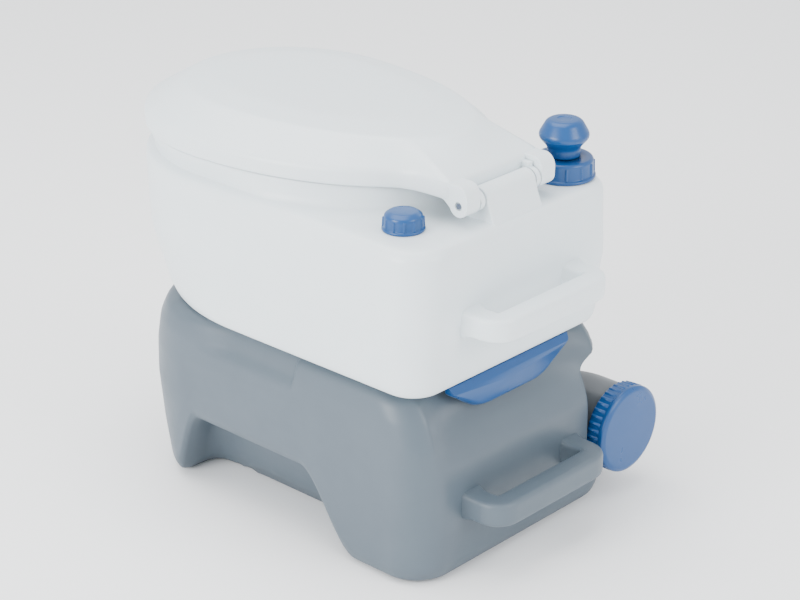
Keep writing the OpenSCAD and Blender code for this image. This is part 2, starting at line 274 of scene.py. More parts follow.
FINISHES = {
    Look.WHITE: Plastic("white_blow_moulded_hdpe", "#E4ECEF", "#DEE7EB", 0.34, glow_through=0.04),
    Look.BOWL: Plastic("white_polished_pp", "#E2E8EA", "#DCE3E6", 0.22, grain_height_mm=0.01),
    Look.GREY: Plastic("grey_blow_moulded_hdpe", "#525E68", "#4D5963", 0.42),
    Look.SPOUT: Plastic("grey_injection_moulded_pp", "#565B60", "#515559", 0.40),
    Look.BLUE: Plastic("blue_injection_moulded_pp", "#00447F", "#004178", 0.30, wave_height_mm=0.05),
    Look.RUBBER: Rubber("black_sealing_rubber", "#17181A", "#26282B"),
    Look.STEEL: Steel("drawn_stainless_steel", "#C9CBCC", 0.28),
    Look.NATURAL: Plastic("natural_moulded_pp", "#D9DAD6", "#CDCFCB", 0.45, glow_through=0.1),
}


# ---------------------------------------------------------------------------------- surfaces


def ease(low: float, high: float, x: np.ndarray) -> np.ndarray:
    """Smooth step: 0 below low, 1 above high, and 3t^2 - 2t^3 between.

    Args:
        low: where the step starts.
        high: where it ends.
        x: the values to step.

    Returns:
        Values from 0 to 1, in x's shape.
    """
    t = np.clip((x - low) / (high - low), 0.0, 1.0)
    return t * t * (3 - 2 * t)


def arc(centre: tuple, radii: tuple, start: float, end: float, count: int) -> np.ndarray:
    """Points on part of an ellipse: centre plus radii times cosine and sine of the angle.

    Args:
        centre: the ellipse's middle.
        radii: its two half axes.
        start: first angle, in degrees.
        end: last angle, in degrees.
        count: number of points.

    Returns:
        count x 2 points.
    """
    a = np.radians(np.linspace(start, end, count))
    return np.stack([centre[0] + radii[0] * np.cos(a), centre[1] + radii[1] * np.sin(a)], 1)


def rounded_box(half: float, rear: float, front: float, r_rear: float, r_front: float) -> np.ndarray:
    """Plan outline of a box whose rear corners have one radius and front corners another.

    Args:
        half: half the width.
        rear: y of the rear side.
        front: y of the front side.
        r_rear: radius of the rear corners.
        r_front: radius of the front corners.

    Returns:
        Points in x and y, anticlockwise.
    """
    return np.vstack([
        arc((half - r_rear, rear - r_rear), (r_rear, r_rear), 0, 90, 60),
        arc((r_rear - half, rear - r_rear), (r_rear, r_rear), 90, 180, 60),
        arc((r_front - half, front + r_front), (r_front, r_front), 180, 270, 60),
        arc((half - r_front, front + r_front), (r_front, r_front), 270, 360, 60),
    ])


def horseshoe(half: float, rear: float, r_rear: float, mid: float, depth: float) -> np.ndarray:
    """Plan outline with rounded rear corners and a half-elliptical front.

    Args:
        half: half the width.
        rear: y of the rear side.
        r_rear: radius of the rear corners.
        mid: y where the ellipse starts.
        depth: the ellipse's half axis towards the front.

    Returns:
        Points in x and y, anticlockwise.
    """
    return np.vstack([
        arc((half - r_rear, rear - r_rear), (r_rear, r_rear), 0, 90, 60),
        arc((r_rear - half, rear - r_rear), (r_rear, r_rear), 90, 180, 60),
        arc((0, mid), (half, depth), 180, 360, 240),
    ])


def egg(half: float, mid: float, front: float, rear: float) -> np.ndarray:
    """Plan outline of two half ellipses of one width, front and rear of mid.

    Args:
        half: half the width.
        mid: y where the two meet.
        front: half axis of the front one.
        rear: half axis of the rear one.

    Returns:
        Points in x and y, anticlockwise.
    """
    return np.vstack([arc((0, mid), (half, rear), 0, 180, 240),
                      arc((0, mid), (half, front), 180, 360, 240)])


def reach(outline: np.ndarray, centre: tuple, angles: np.ndarray) -> np.ndarray:
    """Distance from centre to the outline in each direction.

    Each side of the outline is cut into 64 steps, its points are sorted by their angle about the
    centre, and the distance is interpolated between them.

    Args:
        outline: points in x and y.
        centre: a point inside the outline.
        angles: directions from the centre, in radians.

    Returns:
        One distance for each direction.
    """
    closed = np.vstack([outline, outline[:1]])
    steps = np.linspace(0, 1, 65)[:-1, None]
    dense = (closed[:-1, None] + steps * (closed[1:, None] - closed[:-1, None])).reshape(-1, 2)
    rel = dense - np.array(centre)
    a = np.arctan2(rel[:, 1], rel[:, 0]) % (2 * np.pi)
    order = np.argsort(a)
    return np.interp(angles, a[order], np.hypot(*rel.T)[order], period=2 * np.pi)


def ring(distance: np.ndarray, centre: tuple, angles: np.ndarray, z: np.ndarray | float) -> np.ndarray:
    """A closed ring of points at a distance from centre in each direction, at height z."""
    x = centre[0] + distance * np.cos(angles)
    y = centre[1] + distance * np.sin(angles)
    return np.stack([x, y, np.broadcast_to(z, x.shape)], 1)


def blend_rings(rings: list[np.ndarray], counts: list[int]) -> np.ndarray:
    """Straight steps between rings.

    Args:
        rings: the rings to run through.
        counts: number of rings from rings[i] up to, but without, rings[i + 1].

    Returns:
        Rings x points x 3.
    """
    out = []
    for a, b, n in zip(rings[:-1], rings[1:], counts):
        t = np.linspace(0, 1, n, endpoint=False)[:, None, None]
        out.append(a[None] * (1 - t) + b[None] * t)
    out.append(rings[-1][None])
    return np.concatenate(out)


def relax(rings: np.ndarray, rounds: int, wrap: bool = False) -> np.ndarray:
    """Round a stack of rings: each moves to the mean of itself, counted twice, and its neighbours.

    Args:
        rings: rings x points x 3.
        rounds: number of times.
        wrap: the last ring is next to the first; otherwise the two end rings stay put.

    Returns:
        The moved rings.
    """
    for _ in range(rounds):
        if wrap:
            rings = (np.roll(rings, 1, 0) + 2 * rings + np.roll(rings, -1, 0)) / 4
        else:
            inner = (rings[:-2] + 2 * rings[1:-1] + rings[2:]) / 4
            rings = np.concatenate([rings[:1], inner, rings[-1:]])
    return rings


def shell(name: str, grid: np.ndarray, wrap: bool = False) -> bpy.types.Object:
    """Make a closed mesh from a stack of closed rings.

    Args:
        name: the piece's name.
        grid: rings x points x 3, in millimetres.
        wrap: join the last ring to the first, as on a torus; otherwise each end is closed with
            a point at its ring's middle.

    Returns:
        The object, smooth shaded, with outward normals.
    """
    rows, cols = grid.shape[:2]
    points = grid.reshape(-1, 3)
    i = np.arange(rows if wrap else rows - 1)[:, None]
    j = np.arange(cols)[None, :]
    i2, j2 = (i + 1) % rows, (j + 1) % cols
    quads = np.stack([i * cols + j, i * cols + j2, i2 * cols + j2, i2 * cols + j], -1).reshape(-1, 4)
    faces = quads.tolist()
    if not wrap:
        points = np.vstack([points, grid[0].mean(0), grid[-1].mean(0)])
        first, last = rows * cols, rows * cols + 1
        k = np.arange(cols)
        k2 = (k + 1) % cols
        base = (rows - 1) * cols
        faces += np.stack([k2, k, np.full(cols, first)], 1).tolist()
        faces += np.stack([base + k, base + k2, np.full(cols, last)], 1).tolist()
    mesh = bpy.data.meshes.new(name)
    mesh.from_pydata((points * MM).tolist(), [], faces)
    return finish_mesh(name, mesh)


def finish_mesh(name: str, mesh: bpy.types.Mesh) -> bpy.types.Object:
    """Merge doubles, turn normals outward, shade smooth and put the mesh in the scene.

    Args:
        name: the piece's name.
        mesh: its mesh, in metres.

    Returns:
        The object.
    """
    work = bmesh.new()
    work.from_mesh(mesh)
    bmesh.ops.remove_doubles(work, verts=work.verts, dist=0.00002)
    bmesh.ops.dissolve_degenerate(work, edges=work.edges, dist=0.00002)
    bmesh.ops.recalc_face_normals(work, faces=work.faces)
    work.to_mesh(mesh)
    work.free()
    mesh.shade_smooth()
    made = bpy.data.objects.new(name, mesh)
    bpy.context.scene.collection.objects.link(made)
    return made


def lathe(name: str, profile: np.ndarray, origin: tuple, axis: str = "z", ribs: tuple | None = None,
          count: int = 144) -> bpy.types.Object:
    """Turn a profile round an axis, with optional grip ribs.

    A point at radius r and height h goes to r cos a, r sin a, h. Where the profile lies between
    the ribs' two heights, r grows by the rib height times a narrow bump repeated round the axis.

    Args:
        name: the piece's name.
        profile: points of radius and height, from the bottom pole round to the top pole.
        origin: the axis's foot, in millimetres.
        axis: "z", or "y" for an axis along +Y.
        ribs: number, height, share of the pitch, lowest and highest height, smallest radius.
        count: points round the axis.

    Returns:
        The object.
    """
    a = np.linspace(0, 2 * np.pi, count, endpoint=False)
    r = np.repeat(profile[:, :1], count, 1)
    h = np.repeat(profile[:, 1:], count, 1)
    if ribs:
        number, height, share, low, high, least = ribs
        phase = (a * number / (2 * np.pi)) % 1.0
        bump = ease(0.5 - share, 0.5 - share * 0.6, phase) - ease(0.5 + share * 0.6, 0.5 + share, phase)
        band = ((h >= low) & (h <= high) & (r >= least)).astype(float)
        r = r + height * bump[None] * band
    x, y = r * np.cos(a), r * np.sin(a)
    grid = np.stack([x, y, h], -1) if axis == "z" else np.stack([-x, h, y], -1)
    return shell(name, grid + np.array(origin))


def rounded_profile(corners: list[tuple], radius: float, steps: int = 6) -> np.ndarray:
    """Round a profile's corners, but for the first and last, with quadratic curves.

    Args:
        corners: the profile's points.
        radius: how far from its corner a curve starts and ends, at most 0.45 of either side.
        steps: points on each curve.

    Returns:
        The rounded profile's points.
    """
    pts = np.array(corners, float)
    out = [pts[:1]]
    for before, here, after in zip(pts[:-2], pts[1:-1], pts[2:]):
        into, away = before - here, after - here
        li, la = np.linalg.norm(into), np.linalg.norm(away)
        cut = min(radius, li * 0.45, la * 0.45)
        p0, p2 = here + into / li * cut, here + away / la * cut
        t = np.linspace(0, 1, steps)[:, None]
        out.append((1 - t) ** 2 * p0 + 2 * t * (1 - t) * here + t * t * p2)
    out.append(pts[-1:])
    return np.vstack(out)


def sweep(name: str, path: np.ndarray, half_w: np.ndarray, half_h: np.ndarray, power: float,
          up: tuple = (0, 0, 1), count: int = 48) -> bpy.types.Object:
    """Carry a superellipse section along a path, with flat closed ends.

    The section's two axes are the path's side direction and up; a point at angle a lies at
    sign(cos a)|cos a|^(2/power) half_w and sign(sin a)|sin a|^(2/power) half_h.

    Args:
        name: the piece's name.
        path: points x 3, in millimetres.
        half_w: half width at each point.
        half_h: half height at each point.
        power: 2 for an ellipse; the larger, the squarer.
        up: a direction the path never runs along.
        count: points round the section.

    Returns:
        The object.
    """
    step = np.gradient(path, axis=0)
    step /= np.linalg.norm(step, axis=1)[:, None]
    side = np.cross(step, np.array(up, float))
    side /= np.linalg.norm(side, axis=1)[:, None]
    lift = np.cross(side, step)
    a = np.linspace(0, 2 * np.pi, count, endpoint=False)
    u = np.sign(np.cos(a)) * np.abs(np.cos(a)) ** (2 / power)
    v = np.sign(np.sin(a)) * np.abs(np.sin(a)) ** (2 / power)
    grid = (path[:, None] + side[:, None] * (u[None] * half_w[:, None])[..., None]
            + lift[:, None] * (v[None] * half_h[:, None])[..., None])
    return shell(name, grid)


def bar(name: str, outline: np.ndarray, x_from: float, x_to: float, bevel: float) -> bpy.types.Object:
    """A prism along X from an outline in Y and Z, with bevelled edges.

    Args:
        name: the piece's name.
        outline: points in y and z, in millimetres.
        x_from: x of one end.
        x_to: x of the other.
        bevel: the bevel's width, in millimetres.

    Returns:
        The object.
    """
    count = len(outline)
    ends = np.array([x_from, x_to])
    grid = np.concatenate([np.column_stack([np.full(count, x), outline]) for x in ends])
    faces = [list(range(count))[::-1], list(range(count, 2 * count))]
    faces += [[k, (k + 1) % count, count + (k + 1) % count, count + k] for k in range(count)]
    mesh = bpy.data.meshes.new(name)
    mesh.from_pydata((grid * MM).tolist(), [], faces)
    made = finish_mesh(name, mesh)
    soften(made, bevel)
    return made


def soften(piece: bpy.types.Object, width_mm: float, segments: int = 3) -> None:
    """Bevel a piece's sharp edges by a width in millimetres and keep its flats flat."""
    mod = piece.modifiers.new("edge_radius", "BEVEL")
    mod.width = width_mm * MM
    mod.segments = segments
    mod.limit_method = "ANGLE"
    mod.angle_limit = math.radians(35)
    mod.harden_normals = True


def dress(piece: bpy.types.Object, look: Look, body: str, *nodes: str) -> bpy.types.Object:
    """Give a piece its finish, let it ride on its body and stand for its CAD nodes.

    Args:
        piece: the object.
        look: its finish and material slot.
        body: the body it moves with.
        nodes: the CAD nodes it replaces, if any.

    Returns:
        The piece.
    """
    piece.data.materials.clear()
    piece.data.materials.append(FINISHES[look].material())
    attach(piece, body)
    if nodes:
        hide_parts(*nodes)
    LOG.info("piece %s rides on %s", piece.name, body)
    return piece


# ---------------------------------------------------------------------------------- waste unit


@dataclass
class WasteTank:
    """The grey tank: rounded box, arched flanks, scoop for the pull handle, bay for the spout."""

    half: float = 155.0
    rear: float = 212.0
    front: float = -229.0
    height: float = 203.0
    arch_in: float = 96.0
    bay_x: float = -108.0
    bay_half: float = 51.0
    bay_reach: float = 110.0
    scoop_half: float = 128.0
    scoop_deep: float = 22.0
    plate_rear: float = 168.5
    grip_deep: float = 7.0
    arch_height: float = 82.0
    centre: tuple = (0.0, -10.0)
    count: int = 560
    angles: np.ndarray = field(init=False)

    def __post_init__(self) -> None:
        """Set the directions in which the rings are cut."""
        self.angles = np.linspace(0, 2 * np.pi, self.count, endpoint=False)

    def outline(self, inset: float, rear_more: float = 0.0, corner: float = 0.0,
                front_more: float = 0.0) -> np.ndarray:
        """Distance to the wall in each direction.

        Args:
            inset: how far inside the widest outline, all round.
            rear_more: further inset at the rear.
            corner: what the rear corners' radius grows by; the front ones' grows by 0.3 of it.
            front_more: further inset at the front.

        Returns:
            One distance for each direction.
        """
        pts = rounded_box(self.half - inset, self.rear - inset - rear_more,
                          self.front + inset + front_more, 40 + corner, 100 + corner * 0.3)
        return reach(pts, self.centre, self.angles)

    def arch(self, y: np.ndarray, rear_end: float) -> np.ndarray:
        """Height of the arch over the ground at y: a level top with a smooth ramp at each end."""
        return self.arch_height * (1 - ease(rear_end - 78, rear_end, y)) * ease(-158, -112, y)

    def body(self) -> bpy.types.Object:
        """Rings from the underside's middle out to the foot, up the wall and over the shoulder.

        The last rings go down into the pocket for the valve. Then dent() lifts the arch on each
        flank and presses in the spout's bay at the rear left, the scoop for the pull handle and
        the side grips.
        """
        c, a, h = self.centre, self.angles, self.height
        full = self.outline(0)
        plate = reach(rounded_box(66.2, 167.0, -120.2, 1.5, 1.5), c, a)
        rings = [
            ring(full * 0.02, c, a, 0.5), ring(full * 0.35, c, a, 0.5), ring(full * 0.66, c, a, 0.5),
            ring(self.outline(26, 0, 0, 16), c, a, 0.2), ring(self.outline(12, 0, 0, 18), c, a, 0.0),
            ring(self.outline(4, 0, 0, 18), c, a, 5.0), ring(self.outline(0.5, 0, 0, 15), c, a, 16.0),
            ring(self.outline(0, 0, 0, 7), c, a, 60.0), ring(self.outline(0, 0.5), c, a, 112.0),
            ring(self.outline(0.5, 3.0), c, a, 150.0), ring(self.outline(3, 8.0, 4), c, a, 178.0),
            ring(self.outline(8, 12.0, 6), c, a, h - 8), ring(self.outline(16, 16.0, 6), c, a, h - 1.5),
            ring(self.outline(24, 18.0, 4), c, a, h), ring(plate + 1, c, a, h),
            ring(plate, c, a, h - 1), ring(plate, c, a, h - 19.4), ring(plate * 0.02, c, a, h - 20.2),
        ]
        grid = blend_rings(rings, [5, 6, 10, 6, 5, 6, 16, 18, 14, 10, 6, 4, 3, 10, 2, 8, 8])
        grid = relax(grid, 3)
        return shell("waste_tank_shell", self.dent(grid))

    def dent(self, grid: np.ndarray) -> np.ndarray:
        """Lift the arches and press in the bay, the scoop and the side grips."""
        x, y, z = np.moveaxis(grid.copy(), -1, 0)
        for side, rear_end in ((1, 118.0), (-1, 62.0)):
            flank = ease(self.arch_in - 14, self.arch_in + 22, side * x)
            lift = self.arch(y, rear_end) * flank
            z = z + lift * (1 - ease(0, 175, z))
        sy, sz = SWIVEL
        away = np.hypot(y - sy, z - sz)
        quarter = np.maximum(np.maximum(sy - y, sz - z), away - self.bay_reach)
        level = np.maximum(sy - y, np.abs(z - sz) - self.bay_half)
        stub = np.maximum(np.abs(y - sy) - self.bay_half, np.maximum(sz - z, z - sz - 100))
        outside = np.minimum(np.minimum(quarter, level), np.minimum(away - self.bay_half, stub))
        pressed = (1 - ease(-5, 4, outside)) * (x < self.bay_x)
        x = x + (self.bay_x - x) * pressed
        scoop = (np.clip(1 - (x / self.scoop_half) ** 4, 0, 1) * ease(118, 168, z)
                 * ease(self.rear - 60, self.rear - 26, y))
        y = np.where(y > self.plate_rear, np.maximum(y - self.scoop_deep * scoop, self.plate_rear), y)
        grip = (ease(self.half - 30, self.half - 6, np.abs(x)) * ease(168, 182, z)
                * (1 - ease(30, 36, y)) * ease(-120, -60, y))
        x = x - np.sign(x) * self.grip_deep * grip
        return np.stack([x, y, z], -1)

    def handle(self) -> bpy.types.Object:
        """A bar on two legs: a squarish section along a flat U path, flared at the roots."""
        return carry_handle("waste_tank_handle", root=self.rear - 6, z=76.0, half=78.0, outer=261.0,
                            half_w=12.5, half_h=13.0)

    def build(self) -> None:
        """Make and dress the tank's shell and handle."""
        dress(self.body(), Look.GREY, "waste_unit", "waste_tank")
        dress(self.handle(), Look.GREY, "waste_unit")


def carry_handle(name: str, root: float, z: float, half: float, outer: float, half_w: float,
                 half_h: float) -> bpy.types.Object:
    """A handle's U path from the wall out, across and back, with round corners.

    Args:
        name: the piece's name.
        root: y of the wall it grows from.
        z: height of its middle.
        half: half the distance between the legs' middles.
        outer: y of its outermost face.
        half_w: the section's half width.
        half_h: the section's half height.

    Returns:
        The object, its section larger by the flare at each root.
    """
    flare = 0.35
    mid = outer - half_w
    corners = [(-half, root - 14, z), (-half, mid, z), (half, mid, z), (half, root - 14, z)]
    path = rounded_profile(corners, 17, 14)
    fine = np.concatenate([np.linspace(p, q, 4, endpoint=False) for p, q in zip(path[:-1], path[1:])]
                          + [path[-1:]])
    near = 1 - ease(root - 2, root + 14, fine[:, 1])
    grow = 1 + flare * near
    return sweep(name, fine, half_w * grow, half_h * grow, 5.5)


@dataclass
class Paddle:
    """The valve's pull handle: a wide blade with cut-back lower corners."""

    inner: float = 186.0
    outer: float = 198.0
    half: float = 92.0
    top: float = 201.0
    waist: float = 180.0

    def build(self) -> None:
        """Make the paddle from layers of one outline, drawn in towards its outer, rear face."""
        half, top = self.half, self.top
        edge = rounded_profile(
            [(-half, top), (-half, 194), (-50, 166), (50, 166), (half, 194), (half, top)], 16)
        layers = []
        for y, inset, drop in ((self.inner, 1.5, 0), (self.inner + 2, 0, 0), (self.outer - 5, 0, 0),
                               (self.outer - 1.2, 2.2, 5), (self.outer, 4.5, 7)):
            x = edge[:, 0] * (1 - inset / half)
            z = np.minimum(edge[:, 1] + inset * (edge[:, 1] < self.waist), top - drop)
            layers.append(np.column_stack([x, np.full(len(edge), y), z]))
        made = shell("valve_pull_handle", np.stack(layers))
        soften(made, 1.6, 4)
        dress(made, Look.BLUE, "valve", "valve_paddle")


@dataclass
class Spout:
    """The swivelling spout: elbow and neck in one sweep, and its ribbed screw cap."""

    x: float = -159.0
    wall: float = -108.3
    radius: float = 43.5
    cap_radius: float = 48.4
    cap_from: float = 208.0

    def elbow(self) -> bpy.types.Object:
        """A round section swept out of the wall and round a quarter turn to the rear.

        Only the first ring, at the wall, is wider.
        """
        y, z = SWIVEL
        turn = self.wall - self.x
        bend = arc((self.wall - 12, y + turn - 12), (turn - 12, turn - 12), 270, 180, 30)
        path = np.vstack([[(self.wall + 0.2, y)], bend, [(self.x, 205.0), (self.x, 226.8)]])
        path = np.column_stack([path, np.full(len(path), z)])
        size = np.full(len(path), self.radius - 0.4)
        size[0] = self.radius + 2
        return sweep("spout_elbow_and_neck", path, size, size, 2.0, count=96)

    def build(self) -> None:
        """Make and dress the elbow and the cap."""
        dress(self.elbow(), Look.SPOUT, "spout", "spout_elbow")
        r = self.cap_radius
        profile = rounded_profile([
            (0.01, 19.4), (43.8, 19.4), (43.8, 0.0), (r - 1.2, 0.0), (r - 0.6, 15.5), (r, 16.5),
            (r, 20.5), (r - 4.5, 23.0), (0.01, 23.0)], 1.6)
        cap = lathe("spout_screw_cap", profile, (self.x, self.cap_from, SWIVEL[1]), "y",
                    (40, 1.0, 0.22, 0.8, 15.0, 44.5), 480)
        dress(cap, Look.BLUE, "pour_cap", "spout_cap")


# ---------------------------------------------------------------------------------- flush unit


@dataclass
class FlushTank:
    """The white tank: tapered foot, widest line, rear deck, seat collar and bowl well."""

    foot: float = 203.3
    belt: float = 280.0
    deck: float = 361.0
    collar: float = 385.0
    centre: tuple = (0.0, -50.0)
    count: int = 560
    angles: np.ndarray = field(init=False)

    def __post_init__(self) -> None:
        """Set the directions in which the rings are cut."""
        self.angles = np.linspace(0, 2 * np.pi, self.count, endpoint=False)

    def cut(self, outline: np.ndarray) -> np.ndarray:
        """Distance to an outline in every direction."""
        return reach(outline, self.centre, self.angles)

    def body(self) -> bpy.types.Object:
        """Rings round a tube that closes on itself.

        They run from the drain out under the foot, up the tapered wall to the widest line and
        the deck's edge, in over the deck, up the collar and down the bowl's well to the drain.
        """
        c, a = self.centre, self.angles
        drain = self.cut(arc((0, -40), (50, 50), 0, 360, 200))
        floor = self.foot
        foot = self.cut(horseshoe(140, 190, 28, -60, 172))
        wall_low = self.cut(horseshoe(150.5, 201, 34, -66, 185.5))
        belt_low = self.cut(horseshoe(152.5, 206.5, 38, -98, 170))
        belt = self.cut(horseshoe(154, 208, 38, -105, 163))
        wall_top = self.cut(horseshoe(152.5, 207.2, 40, -110, 163))
        edge = self.cut(horseshoe(148, 203, 38, -110, 160.5))
        ledge = self.cut(horseshoe(141, 196, 36, -110, 158))
        low_collar = self.cut(egg(150, -110, 161.5, 238))
        collar = self.cut(egg(148, -110, 161, 236))
        lip = self.cut(egg(114, -88, 134, 144))
        well = self.cut(egg(110, -88, 130, 140))
        well_mid = self.cut(egg(104.5, -88, 124.5, 132.5))
        well_low = self.cut(egg(64.5, -40, 64.5, 64.5))
        level = ring(edge, c, a, self.deck)
        open_deck = ease(-80, 10, level[:, 1])
        edge = edge * open_deck + np.maximum(edge, collar + 2.0) * (1 - open_deck)
        inner = np.minimum(ledge, edge - 2)
        base = np.minimum(low_collar + 3, inner - 1)
        rings = [
            ring(drain, c, a, floor), ring(foot, c, a, floor),
            ring((foot + wall_low) / 2 + 3, c, a, floor + 2),
            ring(wall_low, c, a, floor + 12), ring(belt_low, c, a, self.belt - 12),
            ring(belt, c, a, self.belt), ring((belt + wall_top) / 2, c, a, self.belt + 34),
            ring(wall_top, c, a, self.deck - 10), ring(edge, c, a, self.deck - 2.5),
            ring(inner, c, a, self.deck), ring(base, c, a, self.deck + 0.5),
            ring(np.minimum(low_collar, base), c, a, self.deck + 6),
            ring(np.minimum(collar, low_collar), c, a, self.collar - 1),
            ring(collar - 3, c, a, self.collar),
            ring(lip, c, a, self.collar), ring(well, c, a, self.collar - 4),
            ring(well_mid, c, a, 330.0), ring(well_low, c, a, 226.0), ring(drain, c, a, 222.0),
            ring(drain, c, a, floor + 3),
        ]
        steps = [8, 4, 4, 16, 5, 8, 12, 5, 4, 8, 4, 5, 3, 5, 3, 10, 16, 3, 4]
        grid = relax(blend_rings(rings, steps), 2, wrap=True)
        return shell("flush_tank_shell", grid, wrap=True)

    def barrel(self) -> bpy.types.Object:
        """The hinge barrel: a round top, a sloping rear face and a steep front face."""
        y, z = HINGE
        top = arc((y, z), (12, 12), 25, 160, 24)
        profile = np.vstack([[(y + 22, 356.0), (y + 20, 362.0), (y + 14.5, 375.0)], top,
                             [(y - 13, 370.0), (y - 15, 356.0)]])
        return bar("hinge_barrel", profile[::-1], x_from=-37, x_to=37, bevel=1.5)

    def build(self) -> None:
        """Make and dress the tank's shell, hinge barrel and handle."""
        dress(self.body(), Look.WHITE, "flush_unit", "fresh_tank")
        dress(self.barrel(), Look.WHITE, "flush_unit")
        handle = carry_handle("flush_tank_handle", root=203.0, z=275.0, half=77.0, outer=256.0,
                              half_w=12.5, half_h=12.5)
        dress(handle, Look.WHITE, "flush_unit")


@dataclass
class Lid:
    """The lid: an egg-shaped shell with an upright rim, a tongue to the hinge and two ears."""

    rim: float = 386.0
    crown: float = 436.0
    half: float = 151.0
    mid: float = -110.0
    wall: float = 3.5
    count: int = 480
    angles: np.ndarray = field(init=False)

    def __post_init__(self) -> None:
        """Set the directions in which the rings are cut."""
        self.angles = np.linspace(0, 2 * np.pi, self.count, endpoint=False)

    def plan(self) -> np.ndarray:
        """Distance to the rim: the egg and the tongue joined by a smooth maximum."""
        body = reach(egg(self.half, self.mid, 164, 248), (0, self.mid), self.angles)
        side = np.abs(np.cos(self.angles))
        ahead = np.sin(self.angles)
        tongue = np.where(ahead > 0, np.minimum(66.5 / np.maximum(side, 1e-6),
                                                (168 - self.mid) / np.maximum(ahead, 1e-6)), 0.0)
        sharp = 0.055  # the larger, the tighter the fillet between egg and tongue
        return np.log(np.exp(sharp * body) + np.exp(sharp * tongue)) / sharp - 0.8

    def body(self) -> bpy.types.Object:
        """Rings down the inside from a pole, round the rim and up over the outside to a pole.

        A straight bevel runs from the rim's upper edge to the crown's edge, a smaller egg, and
        the tongue's top falls along the same bevel to the hinge.
        """
        c, a, r = (0.0, self.mid), self.angles, self.plan()
        crown = reach(egg(108, -100, 128, 226), c, a)
        top = reach(egg(78, -98, 96, 176), c, a)
        near, edge = self.rim + 18.5, 429.6
        outer = [ring(r, c, a, self.rim), ring(r + 0.9, c, a, self.rim + 2.5),
                 ring(r + 0.9, c, a, self.rim + 14), ring(r - 1, c, a, near),
                 ring(crown + 2, c, a, edge - 0.6), ring(crown - 4, c, a, edge + 0.6),
                 ring(top, c, a, 434.8), ring(top * 0.3, c, a, self.crown),
                 ring(top * 0.01, c, a, self.crown)]
        inner = [ring(np.maximum(np.hypot(g[:, 0], g[:, 1] - self.mid) - self.wall, 0.5), c, a,
                      g[:, 2] - self.wall) for g in outer[2:][::-1]]
        foot = ring(r - self.wall, c, a, self.rim + 0.3)
        rings = inner + [foot] + outer
        steps = [4] * (len(inner) - 1) + [4, 3, 3, 6, 4, 16, 3, 8, 8, 3]
        return shell("lid_shell", relax(blend_rings(rings, steps), 2))

    def ear(self, side: int) -> bpy.types.Object:
        """One hinge ear: a round end on the axis, an arm to the tongue, a recess for the pin."""
        y, z = HINGE
        profile = np.vstack([[(128.0, 404.0), (y - 8, 404.2)],
                             arc((y - 2, z + 8), (13.5, 13.5), 80, 0, 10),
                             arc((y, z), (11.4, 11.4), -10, -160, 16),
                             [(y - 24, 390.0), (128.0, 391.0)]])
        a = np.linspace(0, 2 * np.pi, 192, endpoint=False)
        edge = reach(profile, (y, z), a)
        pin = np.full_like(a, 4.4)
        pole = np.full_like(a, 0.3)
        grid = [(pole, 46.4), (edge, 46.4), (edge, 66.8), (pin, 66.8), (pin, 63.0), (pole, 63.0)]
        rings = np.stack([np.stack([np.full_like(a, x * side), y + r * np.cos(a), z + r * np.sin(a)], 1)
                          for r, x in grid])
        made = shell(f"lid_ear_{'right' if side > 0 else 'left'}", rings)
        soften(made, 2.2)
        return made

    def build(self) -> None:
        """Make and dress the lid and its ears."""
        dress(self.body(), Look.WHITE, "lid", "lid")
        for side in (1, -1):
            dress(self.ear(side), Look.WHITE, "lid")


@dataclass
class Caps:
    """The filler cap, the pump's collar and its knob."""

    def build(self) -> None:
        """Turn each profile about its own axis, where the CAD nodes stand."""
        low, high = (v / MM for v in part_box("filler_cap"))
        x, y, deck = (low.x + high.x) / 2, (low.y + high.y) / 2, high.z - 19.9
        profile = rounded_profile([
            (0.01, -16), (13.6, -16), (13.6, -0.2), (21.5, 0.0), (21.5, 2.6), (19.7, 3.6),
            (19.3, 12.6), (18.6, 15.6), (13.5, 18.9), (0.01, 19.9)], 1.8)
        dress(lathe("filler_screw_cap", profile, (x, y, deck), "z", (12, 1.3, 0.1, 3.8, 13.4, 18.9), 288),
              Look.BLUE, "filler_cap", "filler_cap")
        low, high = (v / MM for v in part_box("pump_collar"))
        x, y, deck = (low.x + high.x) / 2, (low.y + high.y) / 2, low.z
        profile = rounded_profile([
            (7.4, 18.0), (7.4, 14.1), (28.4, 14.0), (28.4, 0.0), (33.5, 0.0), (33.5, 2.8), (31.2, 3.8),
            (30.8, 15.5), (31.0, 18.5), (29.0, 21.0), (7.6, 21.0)], 1.4)
        ringed = np.vstack([profile, profile[:1]])
        dress(self.collar(ringed, (x, y, deck)), Look.BLUE, "pump_collar", "pump_collar")
        low, high = (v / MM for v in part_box("pump_knob"))
        base = low.z
        profile = rounded_profile([
            (0.01, 0.0), (17.2, 0.0), (17.2, 9.0), (18.4, 12.0), (25.4, 20.2), (26.0, 23.4), (25.4, 26.0),
            (19.2, 37.0), (15.5, 39.4), (8.0, 39.7), (7.2, 39.0), (0.01, 39.0)], 2.4)
        dress(lathe("pump_knob_turned", profile, (x, y, base)), Look.BLUE, "pump_plunger", "pump_knob")

    def collar(self, profile: np.ndarray, origin: tuple) -> bpy.types.Object:
        """The ribbed pump collar: a closed profile turned about the pump's axis."""
        count, ribs, rib_height = 288, 12, 1.5
        a = np.linspace(0, 2 * np.pi, count, endpoint=False)
        r = np.repeat(profile[:-1, :1], count, 1)
        h = np.repeat(profile[:-1, 1:], count, 1)
        phase = (a * ribs / (2 * np.pi)) % 1.0
        bump = ease(0.44, 0.46, phase) - ease(0.54, 0.56, phase)
        r = r + rib_height * bump * ((h > 4.2) & (h < 16.5) & (r > 30))
        grid = np.stack([r * np.cos(a), r * np.sin(a), h], -1) + np.array(origin)
        return shell("pump_screw_collar", grid, wrap=True)


